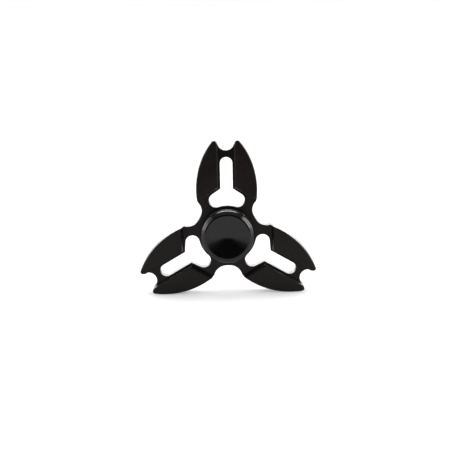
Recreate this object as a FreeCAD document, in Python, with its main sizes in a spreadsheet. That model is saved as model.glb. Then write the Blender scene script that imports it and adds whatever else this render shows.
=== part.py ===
import FreeCAD, Part
import math
import os
import Sketcher
from FreeCAD import Placement, Rotation, Vector

# Fidget spinner with three claw arms on a 608 ball bearing, held between two finger caps.
# Millimetres. The spin axis is Y through the origin, which is the centre of the bearing;
# the front, with the raised claws, faces -Y, and arm 1 points up, along +Z.

doc = FreeCAD.newDocument("fidget_spinner")

# Driving dimensions. "axial" lengths run outward along Y from the bearing's middle plane.
DIMENSIONS = {
    # claw frame, in the plane of the plate: x across arm 1, z along it from the spin axis
    "arms": 3,
    "plate_thickness": 7.5,
    "relief_depth": 2.5,
    "claw_arc_radius": 33.0,
    "claw_arc_x": 20.05,
    "claw_arc_z": 19.5,
    "blank_low_z": 10.0,
    "blank_top_z": 42.0,
    "hub_disc_radius": 15.0,
    "bearing_bore_radius": 11.0,
    "tip_round": 1.05,
    "heel_round": 0.45,
    "face_chamfer": 0.3,
    # raised pad on each claw
    "pad_inner_x": 3.6,
    "pad_knee_z": 19.6,
    "pad_heel_z": 14.45,
    "heel_wall_tilt": 22.0,
    "heel_block_overrun": 1.5,
    "heel_block_width": 3.0,
    # notch between the two tips of an arm
    "notch_radius": 3.65,
    "notch_z": 39.65,
    "notch_flare": 24.0,
    # scallop between neighbouring arms, measured along the line between them
    "scallop_floor": 13.69,
    "scallop_floor_radius": 14.5,
    "scallop_floor_angle": 4.7,
    "scallop_side_radius": 5.35,
    "scallop_side_angle": 97.0,
    # slot through each arm: a straight stem and two round lobes beside the hub
    "stem_half_width": 2.66,
    "stem_top_z": 33.2,
    "lobe_radius": 3.05,
    "lobe_x": 4.6,
    "lobe_z": 14.68,
    "flank_angle": 34.0,
    # 608 ball bearing
    "bearing_outer_radius": 11.0,
    "bearing_inner_radius": 4.0,
    "bearing_half_width": 3.5,
    "ring_chamfer": 0.3,
    "ball_radius": 1.9845,
    "ball_pitch_radius": 7.5,
    "race_radius": 2.064,
    "race_gap": 0.015,
    "outer_shoulder_radius": 8.75,
    "inner_shoulder_radius": 6.2,
    "shield_seat_radius": 9.55,
    "shield_seat_axial": 2.75,
    # shields and the C-shaped rings that hold them
    "shield_thickness": 0.3,
    "shield_hole_radius": 6.35,
    "shield_step_radius": 8.7,
    "shield_step": 0.2,
    "snap_ring_radius": 9.85,
    "snap_ring_hole_radius": 9.1,
    "snap_ring_gap": 3.0,
    # riveted ribbon cage
    "ribbon_thickness": 0.35,
    "ribbon_inner_radius": 6.6,
    "ribbon_outer_radius": 8.4,
    "pocket_gap": 0.05,
    "rivet_radius": 0.4,
    "rivet_head_radius": 0.65,
    "rivet_head_height": 0.2,
    # finger caps
    "cap_radius": 11.15,
    "cap_base_axial": 4.25,
    "cap_crest_axial": 9.1,
    "cap_crest_radius": 9.3,
    "cap_crest_land": 0.2,
    "cap_rim_radius": 1.15,
    "cap_bevel_slope": 40.0,
    "cap_edge_radius": 0.5,
    "dish_slope": 12.0,
    "dish_nose_radius": 9.0,
    "cap_base_chamfer": 0.2,
    "boss_radius": 5.8,
    "spigot_radius": 3.99,
    "spigot_end_axial": 0.1,
    "thread_radius": 2.0,
    "thread_end_axial": 4.7,
    # headless screw that joins the caps
    "screw_half_length": 4.4,
    "screw_chamfer": 0.35,
    "socket_flats": 2.0,
    "socket_depth": 2.2,
}
BALLS = 7

sheet = doc.addObject("Spreadsheet::Sheet", "dims")
for row, (alias, number) in enumerate(DIMENSIONS.items(), start=1):
    sheet.set(f"A{row}", alias)
    sheet.set(f"B{row}", str(number))
    sheet.setAlias(f"B{row}", alias)
doc.recompute()

H_AXIS = -1
V_AXIS = -2
START = 1
END = 2
CENTRE = 3
LINE = "line"
HALF = "half"


def named(expression):
    """Read words in an expression as cells of the sheet; functions and numbers stay as they are."""
    words = sorted(DIMENSIONS, key=len, reverse=True)
    for index, word in enumerate(words):
        expression = expression.replace(word, f"<{index}>")
    for index, word in enumerate(words):
        expression = expression.replace(f"<{index}>", f"dims.{word}")
    return expression


def value(expression):
    """Present value of an expression written with the sheet's words."""
    return float(sheet.evalExpression(named(expression).replace("dims.", "")))


def origin_feature(body, role):
    return next(item for item in body.Origin.OriginFeatures if item.Role == role)


def new_body(label):
    body = doc.addObject("PartDesign::Body", label)
    body.Label = label
    doc.recompute()
    return body


def new_sketch(body, name, plane, offset=None):
    sketch = body.newObject("Sketcher::SketchObject", f"{body.Label}_{name}")
    sketch.AttachmentSupport = [(origin_feature(body, plane), "")]
    sketch.MapMode = "FlatFace"
    if offset:
        sketch.setExpression("AttachmentOffset.Base.z", named(offset))
    return sketch


def drive(sketch, kind, *geometry, by):
    """Add a dimension to a sketch and bind it to the sheet."""
    number = sketch.addConstraint(Sketcher.Constraint(kind, *geometry, value(by)))
    sketch.setExpression(f"Constraints[{number}]", named(by))


def place_point(sketch, edge, end, x, y):
    """Hold one end of an edge at (x, y), each an expression; "0" puts it on the axis."""
    if x == "0":
        sketch.addConstraint(Sketcher.Constraint("PointOnObject", edge, end, V_AXIS))
    else:
        drive(sketch, "DistanceX", H_AXIS, START, edge, end, by=x)
    if y == "0":
        sketch.addConstraint(Sketcher.Constraint("PointOnObject", edge, end, H_AXIS))
    else:
        drive(sketch, "DistanceY", H_AXIS, START, edge, end, by=y)


def arc_between(first, last, radius, turn):
    """Arc of a radius from first to last; turn is "left" or "right", and "wide" takes the long way."""
    chord = last - first
    half = chord.Length / 2
    rise = math.sqrt(max(radius * radius - half * half, 0.0))
    side = Vector(-chord.y, chord.x, 0).normalize()
    left = "left" in turn
    wide = "wide" in turn
    centre = first + chord / 2 + side * (rise if left != wide else -rise)
    begin, finish = (first, last) if left else (last, first)
    angles = [math.atan2(point.y - centre.y, point.x - centre.x) for point in (begin, finish)]
    return Part.ArcOfCircle(Part.Circle(centre, Vector(0, 0, 1), radius), *angles)


def outline(sketch, *path):
    """Draw a closed outline: corners as (x, y) expressions, each followed by LINE or (radius, turn).

    A half circle between two level corners is (HALF, turn).
    """
    corners = path[0::2]
    edges = path[1::2]
    points = [Vector(value(x), value(y), 0) for x, y in corners]
    ends = []
    for index, edge in enumerate(edges):
        first = points[index]
        last = points[(index + 1) % len(points)]
        if edge == LINE:
            number = sketch.addGeometry(Part.LineSegment(first, last))
            ends.append((number, START, END))
            continue
        radius, turn = edge
        size = (last - first).Length / 2 if radius == HALF else value(radius)
        number = sketch.addGeometry(arc_between(first, last, size, turn))
        ends.append((number, START, END) if "left" in turn else (number, END, START))
        if radius == HALF:
            drive(sketch, "DistanceY", H_AXIS, START, number, CENTRE, by=corners[index][1])
        else:
            drive(sketch, "Radius", number, by=radius)
    for index, (number, begin, _) in enumerate(ends):
        previous, _, finish = ends[index - 1]
        sketch.addConstraint(Sketcher.Constraint("Coincident", previous, finish, number, begin))
        place_point(sketch, number, begin, *corners[index])
    doc.recompute()


def extrude(body, sketch, kind, length=None):
    feature = body.newObject(f"PartDesign::{kind}", f"{sketch.Name}_{kind.lower()}")
    feature.Profile = sketch
    if length:
        feature.setExpression("Length", named(length))
    else:
        feature.Type = "ThroughAll"
        feature.Midplane = True
    doc.recompute()
    return feature


def around(body, feature, count="arms"):
    """Repeat a feature evenly around the spin axis."""
    pattern = body.newObject("PartDesign::PolarPattern", f"{feature.Name}_around")
    pattern.Originals = [feature]
    pattern.Axis = (origin_feature(body, "Y_Axis"), [""])
    pattern.Angle = 360
    pattern.setExpression("Occurrences", named(count))
    body.Tip = pattern
    doc.recompute()
    return pattern


def turned(label, *path):
    """Body revolved about the spin axis from an outline of (radius, axial) corners."""
    body = new_body(label)
    sketch = new_sketch(body, "profile", "XY_Plane")
    outline(sketch, *path)
    spun = body.newObject("PartDesign::Revolution", f"{label}_turned")
    spun.Profile = sketch
    spun.ReferenceAxis = (sketch, ["V_Axis"])
    spun.Angle = 360
    doc.recompute()
    return body


def edges_where(shape, wanted):
    """Names of the edges whose middle point and direction pass a test."""
    names = []
    for number, edge in enumerate(shape.Edges, start=1):
        first, last = edge.ParameterRange
        middle = edge.valueAt((first + last) / 2)
        along = edge.tangentAt((first + last) / 2)
        if wanted(middle, along):
            names.append(f"Edge{number}")
    return names


def dress(body, kind, size, wanted):
    """Fillet or chamfer the edges of a body that pass a test."""
    base = body.Tip
    feature = body.newObject(f"PartDesign::{kind}", f"{body.Label}_{kind.lower()}_{size}")
    feature.Base = (base, edges_where(base.Shape, wanted))
    feature.setExpression("Radius" if kind == "Fillet" else "Size", named(size))
    body.Tip = feature
    doc.recompute()
    return feature


def mirrored_path(path):
    """The same outline seen in the mirror of the sketch's vertical axis."""
    flipped = []
    for item in path:
        if isinstance(item, tuple) and item[1] in ("left", "right", "left wide", "right wide"):
            turn = item[1]
            turn = turn.replace("left", "right") if "left" in turn else turn.replace("right", "left")
            flipped.append((item[0], turn))
        elif isinstance(item, tuple):
            flipped.append((item[0] if item[0] == "0" else f"-({item[0]})", item[1]))
        else:
            flipped.append(item)
    return flipped


# ---------------------------------------------------------------- claw frame
def on_claw_arc(z):
    """Distance of the claw's outer arc from the arm's middle line at height z."""
    return f"sqrt(claw_arc_radius^2 - ({z} - claw_arc_z)^2) - claw_arc_x"


frame = new_body("claw_frame")
REAR = "-plate_thickness / 2"

arm = new_sketch(frame, "arm", "XZ_Plane", REAR)
outline(
    arm,
    ("0", "0"), LINE,
    (on_claw_arc("blank_low_z"), "blank_low_z"), ("claw_arc_radius", "left"),
    (on_claw_arc("blank_top_z"), "blank_top_z"), LINE,
    (f"-({on_claw_arc('blank_top_z')})", "blank_top_z"), ("claw_arc_radius", "left"),
    (f"-({on_claw_arc('blank_low_z')})", "blank_low_z"), LINE,
)
around(frame, extrude(frame, arm, "Pad", "plate_thickness - relief_depth"))

hub = new_sketch(frame, "hub", "XZ_Plane", REAR)
hub.addGeometry(Part.Circle(Vector(), Vector(0, 0, 1), value("hub_disc_radius")))
hub.addConstraint(Sketcher.Constraint("Coincident", 0, 3, H_AXIS, START))
drive(hub, "Radius", 0, by="hub_disc_radius")
extrude(frame, hub, "Pad", "plate_thickness - relief_depth")

pads = new_sketch(frame, "claw_pads", "XZ_Plane", REAR)
pad_path = (
    ("pad_inner_x", "pad_knee_z"), LINE,
    (on_claw_arc("pad_heel_z"), "pad_heel_z"), ("claw_arc_radius", "left"),
    (on_claw_arc("blank_top_z"), "blank_top_z"), LINE,
    ("pad_inner_x", "blank_top_z"), LINE,
)
outline(pads, *pad_path)
outline(pads, *mirrored_path(pad_path))
around(frame, extrude(frame, pads, "Pad", "plate_thickness"))

# Each pad ends towards the hub in a wall that leans back from the relief floor. A tilted block
# that stands on the foot of the wall takes the wedge away; the lean is measured from upright.
relief_y = value("relief_depth") - value("plate_thickness") / 2
lean = math.radians(value("heel_wall_tilt"))
heel_length = f"sqrt(({on_claw_arc('pad_heel_z')} - pad_inner_x)^2 + (pad_knee_z - pad_heel_z)^2)"
for side, sign in (("right", 1), ("left", -1)):
    inner = Vector(sign * value("pad_inner_x"), relief_y, value("pad_knee_z"))
    outer = Vector(sign * value(on_claw_arc("pad_heel_z")), relief_y, value("pad_heel_z"))
    along_foot = (outer - inner).normalize()
    to_hub = Vector(sign * along_foot.z, 0, -abs(along_foot.x))
    up_wall = Vector(0, -math.cos(lean), 0) - to_hub * math.sin(lean)
    across = up_wall.cross(along_foot)
    corner = inner - along_foot * value("heel_block_overrun")
    if across.dot(to_hub) < 0:
        corner -= across * value("heel_block_width")
    block = frame.newObject("PartDesign::SubtractiveBox", f"claw_frame_heel_lean_{side}")
    block.setExpression("Length", named(f"2 * heel_block_overrun + {heel_length}"))
    block.setExpression("Width", named("heel_block_width"))
    block.setExpression("Height", named("2 * relief_depth"))
    block.Placement = Placement(corner, Rotation(along_foot, across, up_wall, "ZXY"))
    frame.Tip = block
    doc.recompute()
    around(frame, block)

# The scallop is drawn below the axis, on the line between arms 2 and 3.
floor_bow = "scallop_floor_radius * (1 - cos(scallop_floor_angle * 1deg))"
floor_end_x = "scallop_floor_radius * sin(scallop_floor_angle * 1deg)"
side_x = "(scallop_floor_radius - scallop_side_radius) * sin(scallop_floor_angle * 1deg)"
side_z = (
    "(scallop_floor + scallop_floor_radius"
    " - (scallop_floor_radius - scallop_side_radius) * cos(scallop_floor_angle * 1deg))"
)
side_end_x = f"{side_x} + scallop_side_radius * sin(scallop_side_angle * 1deg)"
side_end_z = f"{side_z} - scallop_side_radius * cos(scallop_side_angle * 1deg)"
scallop = new_sketch(frame, "scallop", "XZ_Plane")
outline(
    scallop,
    (f"-({floor_end_x})", f"-(scallop_floor + {floor_bow})"), ("scallop_floor_radius", "right"),
    (floor_end_x, f"-(scallop_floor + {floor_bow})"), ("scallop_side_radius", "right"),
    (side_end_x, f"-({side_end_z})"), LINE,
    (side_end_x, "-24"), LINE,
    (f"-({side_end_x})", "-24"), LINE,
    (f"-({side_end_x})", f"-({side_end_z})"), ("scallop_side_radius", "right"),
)
around(frame, extrude(frame, scallop, "Pocket"))

notch_x = "notch_radius * cos(notch_flare * 1deg)"
notch_low = "notch_z - notch_radius * sin(notch_flare * 1deg)"
notch_top_x = f"{notch_x} + (44 - ({notch_low})) * tan(notch_flare * 1deg)"
notch = new_sketch(frame, "notch", "XZ_Plane")
outline(
    notch,
    (f"-({notch_x})", notch_low), ("notch_radius", "left"),
    (notch_x, notch_low), LINE,
    (notch_top_x, "44"), LINE,
    (f"-({notch_top_x})", "44"), LINE,
)
around(frame, extrude(frame, notch, "Pocket"))

flank_x = "lobe_x + lobe_radius * sin(flank_angle * 1deg)"
flank_z = "lobe_z + lobe_radius * cos(flank_angle * 1deg)"
knee_z = f"{flank_z} + ({flank_x} - stem_half_width) * tan(flank_angle * 1deg)"
lobe_reach = "sqrt(lobe_x^2 + lobe_z^2)"
hub_wall = f"({lobe_reach} - lobe_radius)"
foot_x = f"lobe_x * {hub_wall} / {lobe_reach}"
foot_z = f"lobe_z * {hub_wall} / {lobe_reach}"
stem_end_z = "stem_top_z - stem_half_width"
slot = new_sketch(frame, "slot", "XZ_Plane")
outline(
    slot,
    ("stem_half_width", stem_end_z), (HALF, "left"),
    ("-stem_half_width", stem_end_z), LINE,
    ("-stem_half_width", knee_z), LINE,
    (f"-({flank_x})", flank_z), ("lobe_radius", "left"),
    (f"-({foot_x})", foot_z), (hub_wall, "right"),
    (foot_x, foot_z), ("lobe_radius", "left"),
    (flank_x, flank_z), LINE,
    ("stem_half_width", knee_z), LINE,
)
around(frame, extrude(frame, slot, "Pocket"))

bore = new_sketch(frame, "bore", "XZ_Plane")
bore.addGeometry(Part.Circle(Vector(), Vector(0, 0, 1), value("bearing_bore_radius")))
bore.addConstraint(Sketcher.Constraint("Coincident", 0, 3, H_AXIS, START))
drive(bore, "Radius", 0, by="bearing_bore_radius")
frame.Tip = extrude(frame, bore, "Pocket")

plate_front = -value("plate_thickness") / 2
plate_rear = value("plate_thickness") / 2
tip_reach = value("notch_z")
heel_reach = math.hypot(value(on_claw_arc("pad_heel_z")), value("pad_heel_z"))


def along_y(along):
    return abs(abs(along.y) - 1) < 1e-6


def is_tip(middle, along):
    return along_y(along) and math.hypot(middle.x, middle.z) > tip_reach


def is_heel(middle, along):
    return along_y(along) and abs(math.hypot(middle.x, middle.z) - heel_reach) < 0.6


def on_plate_face(middle, along):
    on_face = abs(middle.y - plate_front) < 1e-6 or abs(middle.y - plate_rear) < 1e-6
    return on_face and math.hypot(middle.x, middle.z) > value("bearing_bore_radius") + 1e-3


dress(frame, "Fillet", "tip_round", is_tip)
dress(frame, "Fillet", "heel_round", is_heel)

dress(frame, "Chamfer", "face_chamfer", on_plate_face)

# ---------------------------------------------------------------- 608 bearing rings
outer_race_x = "(ball_pitch_radius + ball_radius + race_gap - race_radius)"
inner_race_x = "(ball_pitch_radius - ball_radius - race_gap + race_radius)"
outer_race_y = f"sqrt(race_radius^2 - (outer_shoulder_radius - {outer_race_x})^2)"
inner_race_y = f"sqrt(race_radius^2 - ({inner_race_x} - inner_shoulder_radius)^2)"
ring_edge = "bearing_half_width - ring_chamfer"
groove_low = "shield_seat_axial + shield_thickness"
groove_high = "shield_seat_axial + 2 * shield_thickness"

outer_ring = turned(
    "bearing_outer_ring",
    ("outer_shoulder_radius", f"-({outer_race_y})"), ("race_radius", "left"),
    ("outer_shoulder_radius", outer_race_y), LINE,
    ("outer_shoulder_radius", "shield_seat_axial"), LINE,
    ("shield_seat_radius", "shield_seat_axial"), LINE,
    ("shield_seat_radius", groove_low), LINE,
    ("snap_ring_radius", groove_low), LINE,
    ("snap_ring_radius", groove_high), LINE,
    ("shield_seat_radius", groove_high), LINE,
    ("shield_seat_radius", "bearing_half_width"), LINE,
    ("bearing_outer_radius - ring_chamfer", "bearing_half_width"), LINE,
    ("bearing_outer_radius", ring_edge), LINE,
    ("bearing_outer_radius", f"-({ring_edge})"), LINE,
    ("bearing_outer_radius - ring_chamfer", "-bearing_half_width"), LINE,
    ("shield_seat_radius", "-bearing_half_width"), LINE,
    ("shield_seat_radius", f"-({groove_high})"), LINE,
    ("snap_ring_radius", f"-({groove_high})"), LINE,
    ("snap_ring_radius", f"-({groove_low})"), LINE,
    ("shield_seat_radius", f"-({groove_low})"), LINE,
    ("shield_seat_radius", "-shield_seat_axial"), LINE,
    ("outer_shoulder_radius", "-shield_seat_axial"), LINE,
)

inner_ring = turned(
    "bearing_inner_ring",
    ("inner_shoulder_radius", inner_race_y), ("race_radius", "left"),
    ("inner_shoulder_radius", f"-({inner_race_y})"), LINE,
    ("inner_shoulder_radius", "-bearing_half_width"), LINE,
    ("bearing_inner_radius + ring_chamfer", "-bearing_half_width"), LINE,
    ("bearing_inner_radius", f"-({ring_edge})"), LINE,
    ("bearing_inner_radius", ring_edge), LINE,
    ("bearing_inner_radius + ring_chamfer", "bearing_half_width"), LINE,
    ("inner_shoulder_radius", "bearing_half_width"), LINE,
)

# ---------------------------------------------------------------- balls
for number in range(BALLS):
    ball = doc.addObject("Part::Sphere", f"ball_{number + 1}")
    ball.Label = ball.Name
    ball.setExpression("Radius", named("ball_radius"))
    turn = f"({number} * 360deg / {BALLS})"
    ball.setExpression("Placement.Base.x", named(f"ball_pitch_radius * sin{turn}"))
    ball.setExpression("Placement.Base.z", named(f"ball_pitch_radius * cos{turn}"))


# ---------------------------------------------------------------- ribbon cage
def primitive(kind, name, **sizes):
    """Part primitive whose sizes are expressions."""
    item = doc.addObject(f"Part::{kind}", name)
    for size, expression in sizes.items():
        item.setExpression(size, named(expression))
    return item


def boolean(kind, name, *items):
    """Part boolean of two or more objects."""
    result = doc.addObject(f"Part::{kind}", name)
    if kind in ("Cut", "Common") and len(items) == 2:
        result.Base, result.Tool = items
    else:
        result.Shapes = list(items)
    return result


def axial_cylinder(name, radius, start, length):
    """Cylinder on an axis parallel to the spin axis, from y = start toward +Y."""
    rod = primitive("Cylinder", name, Radius=radius, Height=length)
    rod.Placement.Rotation = Rotation(Vector(1, 0, 0), -90)
    rod.setExpression("Placement.Base.y", named(start))
    return rod


def at_ball(item, number, shift=0.0):
    """Move an object to ball position number (+ shift of a pitch) around the spin axis."""
    turn = f"(({number} + {shift}) * 360deg / {BALLS})"
    item.setExpression("Placement.Base.x", named(f"ball_pitch_radius * sin{turn}"))
    item.setExpression("Placement.Base.z", named(f"ball_pitch_radius * cos{turn}"))
    return item


pocket_radius = "ball_radius + pocket_gap"
for label, sign in (("cage_front_half", -1), ("cage_rear_half", 1)):
    flat_start = "0" if sign > 0 else "-ribbon_thickness"
    reach = f"{pocket_radius} + 2 * ribbon_thickness"
    band_start = "0" if sign > 0 else f"-({reach})"
    flat = axial_cylinder(f"{label}_flat", "ribbon_outer_radius", flat_start, "ribbon_thickness")
    shells = []
    hollows = []
    for number in range(BALLS):
        shell = primitive("Sphere", f"{label}_shell_{number + 1}", Radius=f"{pocket_radius} + ribbon_thickness")
        hollow = primitive("Sphere", f"{label}_hollow_{number + 1}", Radius=pocket_radius)
        shells.append(at_ball(shell, number))
        hollows.append(at_ball(hollow, number))
    solid = boolean("MultiFuse", f"{label}_solid", flat, *shells)
    band = boolean(
        "Cut", f"{label}_band",
        axial_cylinder(f"{label}_band_outside", "ribbon_outer_radius", band_start, reach),
        axial_cylinder(f"{label}_band_inside", "ribbon_inner_radius", band_start, reach),
    )
    ribbon = boolean("Common", f"{label}_ribbon", solid, band)
    balls_out = boolean("MultiFuse", f"{label}_pockets", *hollows)
    holes = boolean(
        "MultiFuse", f"{label}_rivet_holes",
        *[
            at_ball(axial_cylinder(f"{label}_hole_{number + 1}", "rivet_radius", band_start, reach), number, 0.5)
            for number in range(BALLS)
        ],
    )
    pressed = boolean("Cut", f"{label}_pressed", ribbon, balls_out)
    half = boolean("Cut", label, pressed, holes)
    half.Label = label

rivets = []
for number in range(BALLS):
    shank = axial_cylinder(f"rivet_{number + 1}_shank", "rivet_radius", "-ribbon_thickness", "2 * ribbon_thickness")
    front = axial_cylinder(
        f"rivet_{number + 1}_front", "rivet_head_radius", "-(ribbon_thickness + rivet_head_height)", "rivet_head_height"
    )
    rear = axial_cylinder(f"rivet_{number + 1}_rear", "rivet_head_radius", "ribbon_thickness", "rivet_head_height")
    pieces = [at_ball(item, number, 0.5) for item in (shank, front, rear)]
    rivets.append(boolean("MultiFuse", f"rivet_{number + 1}", *pieces))
rivet_set = doc.addObject("Part::Compound", "cage_rivets")
rivet_set.Label = "cage_rivets"
rivet_set.Links = rivets

# ---------------------------------------------------------------- shields and snap rings
flange_outer = "shield_seat_axial + shield_thickness"
for label, sign in (("front_shield", "-"), ("rear_shield", "")):
    low = f"{sign}(shield_seat_axial)"
    high = f"{sign}({flange_outer})"
    low_step = f"{sign}(shield_seat_axial + shield_step)"
    high_step = f"{sign}({flange_outer} + shield_step)"
    turned(
        label,
        ("shield_hole_radius", low_step), LINE,
        ("shield_step_radius - shield_step", low_step), LINE,
        ("shield_step_radius", low), LINE,
        ("shield_seat_radius", low), LINE,
        ("shield_seat_radius", high), LINE,
        ("shield_step_radius", high), LINE,
        ("shield_step_radius - shield_step", high_step), LINE,
        ("shield_hole_radius", high_step), LINE,
    )

for label, start in (("front_snap_ring", f"-({groove_high})"), ("rear_snap_ring", groove_low)):
    disc = axial_cylinder(f"{label}_disc", "snap_ring_radius", start, "shield_thickness")
    hole = axial_cylinder(f"{label}_hole", "snap_ring_hole_radius", start, "shield_thickness")
    ring = boolean("Cut", f"{label}_ring", disc, hole)
    opening = primitive(
        "Box", f"{label}_opening", Length="snap_ring_gap", Width="shield_thickness", Height="snap_ring_radius"
    )
    opening.setExpression("Placement.Base.x", named("-snap_ring_gap / 2"))
    opening.setExpression("Placement.Base.y", named(start))
    clip = boolean("Cut", label, ring, opening)
    clip.Label = label

# ---------------------------------------------------------------- finger caps
crest_inner = "cap_crest_radius - cap_crest_land"
nose_end_x = "dish_nose_radius * sin(dish_slope * 1deg)"
dish_low = f"cap_crest_axial - ({crest_inner} - {nose_end_x}) * tan(dish_slope * 1deg)"
dish_middle = f"{dish_low} - dish_nose_radius * (1 - cos(dish_slope * 1deg))"
rim_end_x = "cap_crest_radius + cap_rim_radius * sin(cap_bevel_slope * 1deg)"
rim_end = "cap_crest_axial - cap_rim_radius * (1 - cos(cap_bevel_slope * 1deg))"
edge_start_x = "cap_radius - cap_edge_radius * (1 - sin(cap_bevel_slope * 1deg))"
edge_start = f"{rim_end} - ({edge_start_x} - ({rim_end_x})) * tan(cap_bevel_slope * 1deg)"
edge_end = f"{edge_start} - cap_edge_radius * cos(cap_bevel_slope * 1deg)"
for label, sign in (("front_cap", "-"), ("rear_cap", "")):
    hollow, bulge = ("right", "left") if sign else ("left", "right")
    turned(
        label,
        ("0", f"{sign}({dish_middle})"), ("dish_nose_radius", hollow),
        (nose_end_x, f"{sign}({dish_low})"), LINE,
        (crest_inner, f"{sign}cap_crest_axial"), LINE,
        ("cap_crest_radius", f"{sign}cap_crest_axial"), ("cap_rim_radius", bulge),
        (rim_end_x, f"{sign}({rim_end})"), LINE,
        (edge_start_x, f"{sign}({edge_start})"), ("cap_edge_radius", bulge),
        ("cap_radius", f"{sign}({edge_end})"), LINE,
        ("cap_radius", f"{sign}(cap_base_axial + cap_base_chamfer)"), LINE,
        ("cap_radius - cap_base_chamfer", f"{sign}cap_base_axial"), LINE,
        ("boss_radius", f"{sign}cap_base_axial"), LINE,
        ("boss_radius", f"{sign}bearing_half_width"), LINE,
        ("spigot_radius", f"{sign}bearing_half_width"), LINE,
        ("spigot_radius", f"{sign}spigot_end_axial"), LINE,
        ("thread_radius", f"{sign}spigot_end_axial"), LINE,
        ("thread_radius", f"{sign}thread_end_axial"), LINE,
        ("0", f"{sign}thread_end_axial"), LINE,
    )

# ---------------------------------------------------------------- joining screw
screw = turned(
    "cap_joining_screw",
    ("0", "-screw_half_length"), LINE,
    ("thread_radius - screw_chamfer", "-screw_half_length"), LINE,
    ("thread_radius", "-(screw_half_length - screw_chamfer)"), LINE,
    ("thread_radius", "screw_half_length - screw_chamfer"), LINE,
    ("thread_radius - screw_chamfer", "screw_half_length"), LINE,
    ("0", "screw_half_length"), LINE,
)
socket = new_sketch(screw, "socket", "XZ_Plane", "-screw_half_length")
corner_reach = "socket_flats / 2 / cos(30deg)"
hexagon = []
for number in range(6):
    hexagon.append((f"{corner_reach} * cos({60 * number + 30}deg)", f"{corner_reach} * sin({60 * number + 30}deg)"))
    hexagon.append(LINE)
outline(socket, *hexagon)
recess = screw.newObject("PartDesign::Pocket", "cap_joining_screw_recess")
recess.Profile = socket
recess.Reversed = True
recess.setExpression("Length", named("socket_depth"))
screw.Tip = recess
doc.recompute()

# ---------------------------------------------------------------- check and write the nodes
NODES = (
    ["claw_frame", "bearing_outer_ring", "bearing_inner_ring"]
    + [f"ball_{number + 1}" for number in range(BALLS)]
    + ["cage_front_half", "cage_rear_half", "cage_rivets"]
    + ["front_shield", "rear_shield", "front_snap_ring", "rear_snap_ring"]
    + ["front_cap", "rear_cap", "cap_joining_screw"]
)
doc.recompute()
for item in doc.Objects:
    if "Invalid" in item.State or "Error" in item.State:
        raise RuntimeError(f"{item.Label} did not build: {item.State}")

os.makedirs("parts", exist_ok=True)
for label in NODES:
    node = doc.getObjectsByLabel(label)[0]
    if node.Shape.isNull() or not node.Shape.isValid():
        raise RuntimeError(f"{label} has no valid shape")
    node.Shape.exportStep(f"parts/{label}.step")
    print(label, "solids", len(node.Shape.Solids), "volume", round(node.Shape.Volume, 3))
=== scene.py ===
import math

import bpy
from mathutils import Matrix, Vector


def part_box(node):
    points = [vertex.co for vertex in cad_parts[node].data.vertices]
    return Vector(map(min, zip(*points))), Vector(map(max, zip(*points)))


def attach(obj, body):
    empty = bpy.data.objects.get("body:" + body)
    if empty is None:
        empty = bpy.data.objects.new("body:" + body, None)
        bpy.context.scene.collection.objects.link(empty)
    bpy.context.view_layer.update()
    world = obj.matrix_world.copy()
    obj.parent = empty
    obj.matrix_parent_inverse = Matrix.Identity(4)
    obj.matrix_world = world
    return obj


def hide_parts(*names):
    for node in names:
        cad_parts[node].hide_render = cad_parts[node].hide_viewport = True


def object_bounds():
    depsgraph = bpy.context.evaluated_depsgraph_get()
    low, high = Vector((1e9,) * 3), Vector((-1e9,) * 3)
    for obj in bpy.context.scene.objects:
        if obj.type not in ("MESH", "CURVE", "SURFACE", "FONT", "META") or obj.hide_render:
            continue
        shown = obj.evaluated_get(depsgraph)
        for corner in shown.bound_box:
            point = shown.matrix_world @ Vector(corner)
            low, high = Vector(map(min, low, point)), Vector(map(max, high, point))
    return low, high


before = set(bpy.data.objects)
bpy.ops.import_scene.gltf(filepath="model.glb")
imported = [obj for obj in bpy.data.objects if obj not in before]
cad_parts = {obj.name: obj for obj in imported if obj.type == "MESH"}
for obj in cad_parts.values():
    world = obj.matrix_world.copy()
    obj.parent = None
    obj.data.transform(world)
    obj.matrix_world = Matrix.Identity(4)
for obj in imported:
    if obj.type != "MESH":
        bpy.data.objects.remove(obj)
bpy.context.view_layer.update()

MM = 0.001


# ------------------------------------------------------------------ node helpers
def node_tools(tree):
    """Empties a node tree and gives its two tools: a function that adds nodes, and one that links them."""
    tree.nodes.clear()

    def add(kind, **settings):
        node = tree.nodes.new("ShaderNode" + kind)
        for key, setting in settings.items():
            if key.startswith("in_"):
                node.inputs[key[3:].replace("_", " ")].default_value = setting
            else:
                setattr(node, key, setting)
        return node

    def link(source, target):
        tree.links.new(source, target)

    return add, link


def new_material(name):
    """An empty node material and its node tools."""
    material = bpy.data.materials.new(name)
    material.use_nodes = True
    return material, *node_tools(material.node_tree)


def math_node(add, link, operation, first, second=None):
    """Output of a math node; each input is a number or another node's output."""
    node = add("Math", operation=operation)
    for index, item in enumerate((first, second)):
        if item is None:
            continue
        if isinstance(item, (int, float)):
            node.inputs[index].default_value = item
        else:
            link(item, node.inputs[index])
    return node.outputs[0]


def ramp(add, link, source, low, high, to_low=0.0, to_high=1.0):
    """The source mapped from low..high to to_low..to_high, and held there outside that range."""
    node = add("MapRange")
    link(source, node.inputs["Value"])
    for key, number in (("From Min", low), ("From Max", high), ("To Min", to_low), ("To Max", to_high)):
        node.inputs[key].default_value = number
    return node.outputs[0]


def noise(add, link, coords, scale, detail=3.0, roughness=0.55):
    node = add("TexNoise", in_Scale=scale, in_Detail=detail, in_Roughness=roughness)
    link(coords, node.inputs["Vector"])
    return node.outputs["Fac"]


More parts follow.
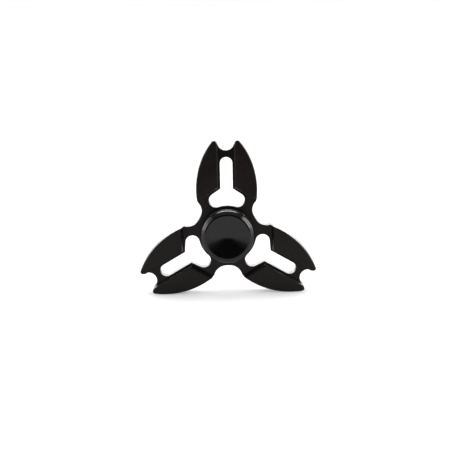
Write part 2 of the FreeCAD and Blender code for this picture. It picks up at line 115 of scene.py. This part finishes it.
def spin_radius(add, link, coords):
    """The coordinates split into X, Y and Z, and the distance from the spin axis."""
    split = add("SeparateXYZ")
    link(coords, split.inputs[0])
    square = math_node(add, link, "ADD",
                       math_node(add, link, "MULTIPLY", split.outputs["X"], split.outputs["X"]),
                       math_node(add, link, "MULTIPLY", split.outputs["Z"], split.outputs["Z"]))
    return split, math_node(add, link, "SQRT", square)


def mix_colour(add, link, factor, dark, light):
    node = add("Mix", data_type="RGBA")
    link(factor, node.inputs["Factor"])
    node.inputs["A"].default_value = (*dark, 1)
    node.inputs["B"].default_value = (*light, 1)
    return node.outputs["Result"]


def worn_and_highlit_edges(add, link, radius, low, high):
    """0 on flat surfaces, rising to 1 on sharp edges within radius; this masks both edge wear and a painted
    highlight.
    """
    rounded = add("Bevel", samples=6, in_Radius=radius)
    plain = add("NewGeometry")
    dot = add("VectorMath", operation="DOT_PRODUCT")
    link(rounded.outputs[0], dot.inputs[0])
    link(plain.outputs["Normal"], dot.inputs[1])
    gap = math_node(add, link, "SUBTRACT", 1.0, dot.outputs["Value"])
    return ramp(add, link, gap, low, high), rounded.outputs[0]


# ------------------------------------------------------------------ materials
def blasted_black():
    """Bead-blasted black anodised finish of the claw frame, with light grey edges that are partly wear and
    partly painted highlight.
    """
    material, add, link = new_material("blasted_black")
    coords = add("TexCoord").outputs["Object"]
    out = add("OutputMaterial")
    shader = add("BsdfPrincipled", in_Metallic=0.0, in_IOR=1.45, in_Specular_IOR_Level=0.15,
                 in_Sheen_Weight=0.04, in_Sheen_Roughness=0.35)
    grain = noise(add, link, coords, 5200.0, 2.0, 0.6)
    pits = noise(add, link, coords, 1900.0, 3.0, 0.6)
    cloud = noise(add, link, coords, 90.0, 4.0, 0.55)
    # Painted highlight: sharp edges get a light grey colour in patches. It is partly rubbed wear and partly
    # painted highlight lines along the pad edges.
    wear_and_highlight, rounded = worn_and_highlit_edges(add, link, 0.28 * MM, 0.01, 0.25)
    patchy_wear_and_highlight = math_node(add, link, "MULTIPLY", wear_and_highlight, ramp(add, link, pits, 0.35, 0.65, 0.35, 1.0))
    base = mix_colour(add, link, ramp(add, link, cloud, 0.3, 0.7),
                      (0.0052, 0.0034, 0.0029), (0.0080, 0.0056, 0.0049))
    # Light grey edge colour: partly wear, partly painted highlight.
    worn_and_highlit = add("Mix", data_type="RGBA")
    link(math_node(add, link, "MULTIPLY", patchy_wear_and_highlight, 0.55), worn_and_highlit.inputs["Factor"])
    link(base, worn_and_highlit.inputs["A"])
    worn_and_highlit.inputs["B"].default_value = (0.14, 0.136, 0.13, 1)
    link(worn_and_highlit.outputs["Result"], shader.inputs["Base Color"])
    rough = ramp(add, link, cloud, 0.3, 0.7, 0.23, 0.30)
    rough = math_node(add, link, "ADD", rough, ramp(add, link, grain, 0.3, 0.7, -0.05, 0.05))
    polish = math_node(add, link, "MULTIPLY", patchy_wear_and_highlight, 0.12)
    link(math_node(add, link, "SUBTRACT", rough, polish), shader.inputs["Roughness"])
    height = math_node(add, link, "ADD", grain, math_node(add, link, "MULTIPLY", pits, 0.8))
    bump = add("Bump", in_Strength=0.35, in_Distance=0.012 * MM)
    link(height, bump.inputs["Height"])
    link(rounded, bump.inputs["Normal"])
    link(bump.outputs[0], shader.inputs["Normal"])
    link(shader.outputs[0], out.inputs["Surface"])
    return material


def turned_black(name, gloss, smooth):
    """Turned black finish with concentric marks; gloss is the specular level, smooth the mean roughness."""
    material, add, link = new_material(name)
    out = add("OutputMaterial")
    shader = add("BsdfPrincipled", in_Metallic=0.0, in_IOR=1.5, in_Specular_IOR_Level=gloss)
    coords = add("TexCoord").outputs["Object"]
    split, radius = spin_radius(add, link, coords)
    profile = math_node(add, link, "ADD", radius, math_node(add, link, "MULTIPLY", split.outputs["Y"], 0.7))
    line = add("CombineXYZ")
    link(profile, line.inputs["X"])
    grooves = noise(add, link, line.outputs[0], 9000.0, 4.0, 0.7)
    bands = noise(add, link, line.outputs[0], 1500.0, 3.0, 0.6)
    smudge = noise(add, link, coords, 160.0, 4.0, 0.6)
    base = mix_colour(add, link, ramp(add, link, bands, 0.35, 0.65),
                      (0.0012, 0.0011, 0.0012), (0.0024, 0.0022, 0.0023))
    link(base, shader.inputs["Base Color"])
    rough = ramp(add, link, grooves, 0.3, 0.7, smooth - 0.06, smooth + 0.08)
    rough = math_node(add, link, "ADD", rough, ramp(add, link, smudge, 0.3, 0.7, -0.02, 0.05))
    link(rough, shader.inputs["Roughness"])
    bump = add("Bump", in_Strength=0.5, in_Distance=0.0025 * MM)
    link(math_node(add, link, "ADD", grooves, bands), bump.inputs["Height"])
    link(bump.outputs[0], shader.inputs["Normal"])
    link(shader.outputs[0], out.inputs["Surface"])
    return material


def steel(name, colour, roughness, ringed=True):
    """Ground or pressed steel; ringed adds grinding lines around the spin axis."""
    material, add, link = new_material(name)
    out = add("OutputMaterial")
    shader = add("BsdfPrincipled", in_Metallic=1.0)
    coords = add("TexCoord").outputs["Object"]
    source = coords
    if ringed:
        split, radius = spin_radius(add, link, coords)
        line = add("CombineXYZ")
        link(radius, line.inputs["X"])
        link(split.outputs["Y"], line.inputs["Y"])
        source = line.outputs[0]
    lines = noise(add, link, source, 7000.0, 3.0, 0.6)
    cloud = noise(add, link, coords, 300.0, 3.0, 0.5)
    dark = tuple(0.86 * part for part in colour)
    link(mix_colour(add, link, ramp(add, link, cloud, 0.3, 0.7), dark, colour), shader.inputs["Base Color"])
    link(ramp(add, link, lines, 0.3, 0.7, roughness - 0.06, roughness + 0.08), shader.inputs["Roughness"])
    bump = add("Bump", in_Strength=0.3, in_Distance=0.004 * MM)
    link(lines, bump.inputs["Height"])
    link(bump.outputs[0], shader.inputs["Normal"])
    link(shader.outputs[0], out.inputs["Surface"])
    return material


FRAME_BLACK = blasted_black()
CAP_BLACK = turned_black("cap_black_gloss", 0.29, 0.15)
RING_STEEL = steel("ground_steel", (0.62, 0.62, 0.63), 0.22)
BALL_STEEL = steel("polished_steel", (0.75, 0.75, 0.76), 0.09, ringed=False)
CAGE_STEEL = steel("pressed_steel", (0.56, 0.54, 0.51), 0.34, ringed=False)
SHIELD_STEEL = steel("shield_steel", (0.58, 0.58, 0.58), 0.28)
SCREW_STEEL = steel("oxide_steel", (0.16, 0.16, 0.17), 0.4, ringed=False)

FINISH = {
    "claw_frame": FRAME_BLACK,
    "bearing_outer_ring": RING_STEEL,
    "bearing_inner_ring": RING_STEEL,
    "cage_front_half": CAGE_STEEL,
    "cage_rear_half": CAGE_STEEL,
    "cage_rivets": CAGE_STEEL,
    "front_shield": SHIELD_STEEL,
    "rear_shield": SHIELD_STEEL,
    "front_snap_ring": SHIELD_STEEL,
    "rear_snap_ring": SHIELD_STEEL,
    "cap_joining_screw": SCREW_STEEL,
    "front_cap": CAP_BLACK,
    "rear_cap": CAP_BLACK,
}
for name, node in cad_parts.items():
    finish = BALL_STEEL if name.startswith("ball_") else FINISH[name]
    for slot in node.material_slots:
        slot.material = finish


# ------------------------------------------------------------------ finger caps
def arc(centre, radius, start, stop, steps):
    """Points of an arc in the (radius, axial) half plane, angles in degrees."""
    points = []
    for step in range(steps + 1):
        angle = math.radians(start + (stop - start) * step / steps)
        points.append((centre[0] + radius * math.cos(angle), centre[1] + radius * math.sin(angle)))
    return points


def rounded_corner(before, corner, after, radius, steps=5):
    """Points of the arc of the given radius that rounds a corner of a profile."""
    corner_v = Vector(corner)
    into = (Vector(before) - corner_v).normalized()
    away = (Vector(after) - corner_v).normalized()
    opening = into.angle(away)
    reach = radius / math.tan(opening / 2)
    first = corner_v + into * reach
    last = corner_v + away * reach
    middle = corner_v + (into + away).normalized() * (radius / math.sin(opening / 2))
    start = (first - middle).angle_signed(Vector((1, 0)))
    sweep = (last - middle).angle_signed(first - middle)
    points = []
    for step in range(steps + 1):
        angle = start + sweep * step / steps
        points.append((middle.x + radius * math.cos(angle), middle.y + radius * math.sin(angle)))
    return points


def cap_profile():
    """Closed half section of a cap in millimetres: (distance from the spin axis, height outward)."""
    cap_low, cap_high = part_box("front_cap")
    edge = cap_high.x / MM
    crest = -cap_low.y / MM
    dish_degrees, bevel_degrees = 12.0, 40.0
    nose_radius, crest_inner, crest_outer, crest_round = 9.0, 9.1, 9.3, 0.25
    rim_radius, edge_radius, base = 1.15, 0.5, 4.25
    boss_radius, boss_end, spigot_radius, spigot_end = 5.8, 3.5, 3.99, 0.1
    bore_radius, bore_end = 2.0, 4.7
    dish_steps = 15
    dish_slope, bevel_slope = math.radians(dish_degrees), math.radians(bevel_degrees)

    nose_end = nose_radius * math.sin(dish_slope)
    low = crest - (crest_inner - nose_end) * math.tan(dish_slope)
    nose_middle = (0.0, low + nose_radius * math.cos(dish_slope))
    profile = arc(nose_middle, nose_radius, -90.0, -90.0 + dish_degrees, 12)
    profile[0] = (0.0, profile[0][1])
    for step in range(1, dish_steps):
        reach = nose_end + (crest_inner - nose_end) * step / dish_steps
        profile.append((reach, low + (reach - nose_end) * math.tan(dish_slope)))
    profile += rounded_corner((nose_end, low), (crest_inner, crest), (crest_outer, crest), crest_round)

    rim = arc((crest_outer, crest - rim_radius), rim_radius, 90.0, 90.0 - bevel_degrees, 10)
    rim_end = rim[-1]
    profile += rim
    start = edge - edge_radius * (1 - math.sin(bevel_slope))
    start_height = rim_end[1] - (start - rim_end[0]) * math.tan(bevel_slope)
    middle = (edge - edge_radius, start_height - edge_radius * math.cos(bevel_slope))
    profile += arc(middle, edge_radius, 90.0 - bevel_degrees, 0.0, 8)

    corners = [
        (edge, middle[1]), (edge, base), (boss_radius, base), (boss_radius, boss_end),
        (spigot_radius, boss_end), (spigot_radius, spigot_end), (bore_radius, spigot_end),
        (bore_radius, bore_end), (0.0, bore_end),
    ]
    corner_radii = (0.18, 0.06, 0.06, 0.08, 0.12, 0.05, 0.05)
    for index, radius in enumerate(corner_radii, start=1):
        profile += rounded_corner(corners[index - 1], corners[index], corners[index + 1], radius)
    profile.append(corners[-1])
    return profile


def lathe(name, profile, outward, segments=256):
    """Mesh turned about the spin axis; outward is -1 for the front and +1 for the rear."""
    verts = []
    rings = []
    for reach, height in profile:
        if reach < 1e-9:
            rings.append([len(verts)] * segments)
            verts.append((0.0, outward * height * MM, 0.0))
            continue
        ring = []
        for step in range(segments):
            angle = 2 * math.pi * step / segments
            ring.append(len(verts))
            verts.append((reach * math.sin(angle) * MM, outward * height * MM, reach * math.cos(angle) * MM))
        rings.append(ring)
    faces = []
    for lower, upper in zip(rings, rings[1:]):
        for step in range(segments):
            following = (step + 1) % segments
            face = [lower[step], lower[following], upper[following], upper[step]]
            face = list(dict.fromkeys(face))
            faces.append(face if outward < 0 else face[::-1])
    mesh = bpy.data.meshes.new(name)
    mesh.from_pydata(verts, [], faces)
    mesh.validate()
    for polygon in mesh.polygons:
        polygon.use_smooth = True
    piece = bpy.data.objects.new(name, mesh)
    bpy.context.scene.collection.objects.link(piece)
    return piece


for side, outward in (("front", -1), ("rear", 1)):
    cap = lathe(f"{side}_cap_turned", cap_profile(), outward)
    cap.data.materials.append(CAP_BLACK)
    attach(cap, "caps")
    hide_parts(f"{side}_cap")

# ------------------------------------------------------------------ floor
WHITE = (1, 1, 1, 1)


def plane(name, size, location, material):
    """A flat square that belongs to the stage."""
    bpy.ops.mesh.primitive_plane_add(size=size, location=location)
    piece = bpy.context.object
    piece.name = name
    piece.data.materials.append(material)
    return piece


def glowing_paper():
    """Pale matt floor that gives off a little light of its own, as a light table does."""
    material, add, link = new_material("floor_white")
    paper = add("BsdfPrincipled", in_Roughness=0.9, in_Specular_IOR_Level=0.1, in_Emission_Strength=0.27)
    paper.inputs["Emission Color"].default_value = WHITE
    fibres = noise(add, link, add("TexCoord").outputs["Object"], 4.0)
    link(mix_colour(add, link, fibres, (0.50, 0.50, 0.50), (0.53, 0.53, 0.53)), paper.inputs["Base Color"])
    link(paper.outputs[0], add("OutputMaterial").inputs["Surface"])
    return material


FLOOR_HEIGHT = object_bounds()[0][2]
plane("floor", 40.0, (0, 0, FLOOR_HEIGHT), glowing_paper())


# ------------------------------------------------------------------ light
def studio_world():
    """The camera sees plain white. All else sees a room bright behind the spinner and dark before it."""
    world = bpy.data.worlds.new("studio")
    bpy.context.scene.world = world
    world.use_nodes = True
    add, link = node_tools(world.node_tree)
    direction = add("SeparateXYZ")
    link(add("TexCoord").outputs["Generated"], direction.inputs[0])
    behind = ramp(add, link, direction.outputs["Y"], -0.15, 0.35, 0.02, 4.4)
    fade = ramp(add, link, direction.outputs["Z"], 0.40, 0.70, 1.0, 0.12)
    ceiling = ramp(add, link, direction.outputs["Z"], 0.6, 0.9, 0.0, 0.6)
    strength = math_node(add, link, "ADD", math_node(add, link, "MULTIPLY", behind, fade), ceiling)
    room = add("Background", in_Color=WHITE)
    link(strength, room.inputs["Strength"])
    backdrop = add("Background", in_Color=WHITE, in_Strength=1.0)
    seen = add("MixShader")
    link(add("LightPath").outputs["Is Camera Ray"], seen.inputs["Fac"])
    link(room.outputs[0], seen.inputs[1])
    link(backdrop.outputs[0], seen.inputs[2])
    link(seen.outputs[0], add("OutputWorld").inputs["Surface"])


studio_world()


def sun(name, toward, strength, spread):
    """Broad light that reaches the whole floor evenly; spread is its angle in degrees."""
    data = bpy.data.lights.new(name, "SUN")
    data.energy = strength
    data.angle = math.radians(spread)
    lamp = bpy.data.objects.new(name, data)
    lamp.rotation_euler = Vector(toward).to_track_quat("Z", "Y").to_euler()
    bpy.context.scene.collection.objects.link(lamp)


def softbox(name, direction, distance, width, height, radiance):
    """Rectangular light facing the spinner from a direction, seen in reflections and not by the camera."""
    data = bpy.data.lights.new(name, "AREA")
    data.shape = "RECTANGLE"
    data.size = width
    data.size_y = height
    data.energy = radiance * math.pi * width * height
    lamp = bpy.data.objects.new(name, data)
    place = Vector(direction).normalized() * distance
    lamp.location = place
    lamp.rotation_euler = place.to_track_quat("Z", "Y").to_euler()
    lamp.visible_camera = False
    bpy.context.scene.collection.objects.link(lamp)


sun("overhead", (0.0, 0.35, 0.95), 1.7, 56.0)
softbox("left_lamp", (-0.93, -0.24, 0.29), 1.1, 0.30, 0.36, 4.2)
softbox("right_lamp", (0.85, -0.29, 0.45), 1.1, 0.32, 0.60, 6.5)
softbox("left_wall", (-0.93, 0.02, 0.36), 0.42, 0.50, 0.36, 2.2)
softbox("right_wall", (0.93, 0.02, 0.36), 0.42, 0.50, 0.36, 2.7)


def black_card():
    """Dark card lying flat before the spinner, seen only in reflections.

    The dark wedge on the cap is there without it; the card darkens the wedge's edges.
    """
    material, add, link = new_material("card_black")
    felt = add("BsdfPrincipled", in_Roughness=1.0, in_Specular_IOR_Level=0.0)
    felt.inputs["Base Color"].default_value = (0.02, 0.02, 0.02, 1)
    link(felt.outputs[0], add("OutputMaterial").inputs["Surface"])
    above_floor = 0.2 * MM
    card = plane("black_card", 1.0, (0, -1.27, FLOOR_HEIGHT + above_floor), material)
    card.scale = (4.0, 2.0, 1.0)
    for ray in ("camera", "diffuse", "shadow", "transmission"):
        setattr(card, f"visible_{ray}", False)


black_card()

# ------------------------------------------------------------------ camera
SENSOR = 36.0
FRAME_PIXELS = 460
PIXELS_PER_MM = 2.34
DISTANCE = 0.5
ELEVATION = math.radians(11.41)
ROLL = math.radians(1.16)
AIM_RIGHT = 2.51 / PIXELS_PER_MM * MM
AIM_UP = 4.10 / PIXELS_PER_MM * MM
TARGET = Vector((0, -1.25 * MM, 0))

forward = Vector((0, math.cos(ELEVATION), -math.sin(ELEVATION)))
right = Vector((1, 0, 0))
up = right.cross(forward)
place = TARGET - forward * DISTANCE
right_r = right * math.cos(ROLL) - up * math.sin(ROLL)
up_r = up * math.cos(ROLL) + right * math.sin(ROLL)
aim = forward * DISTANCE + right_r * AIM_RIGHT + up_r * AIM_UP
look = aim.normalized()
side = look.cross(up_r).normalized()
top = side.cross(look)
camera_data = bpy.data.cameras.new("camera")
camera_data.sensor_width = SENSOR
camera_data.lens = PIXELS_PER_MM * DISTANCE / MM / FRAME_PIXELS * SENSOR
camera_data.clip_start = 0.01
camera_data.clip_end = 100.0
camera = bpy.data.objects.new("camera", camera_data)
turn = Matrix((side, top, -look)).transposed().to_4x4()
camera.matrix_world = Matrix.Translation(place) @ turn

bpy.context.scene.collection.objects.link(camera)
bpy.context.scene.camera = camera

scene = bpy.context.scene
scene.view_settings.view_transform = "Standard"
scene.view_settings.look = "None"
scene.view_settings.exposure = 0.0

bpy.context.view_layer.update()
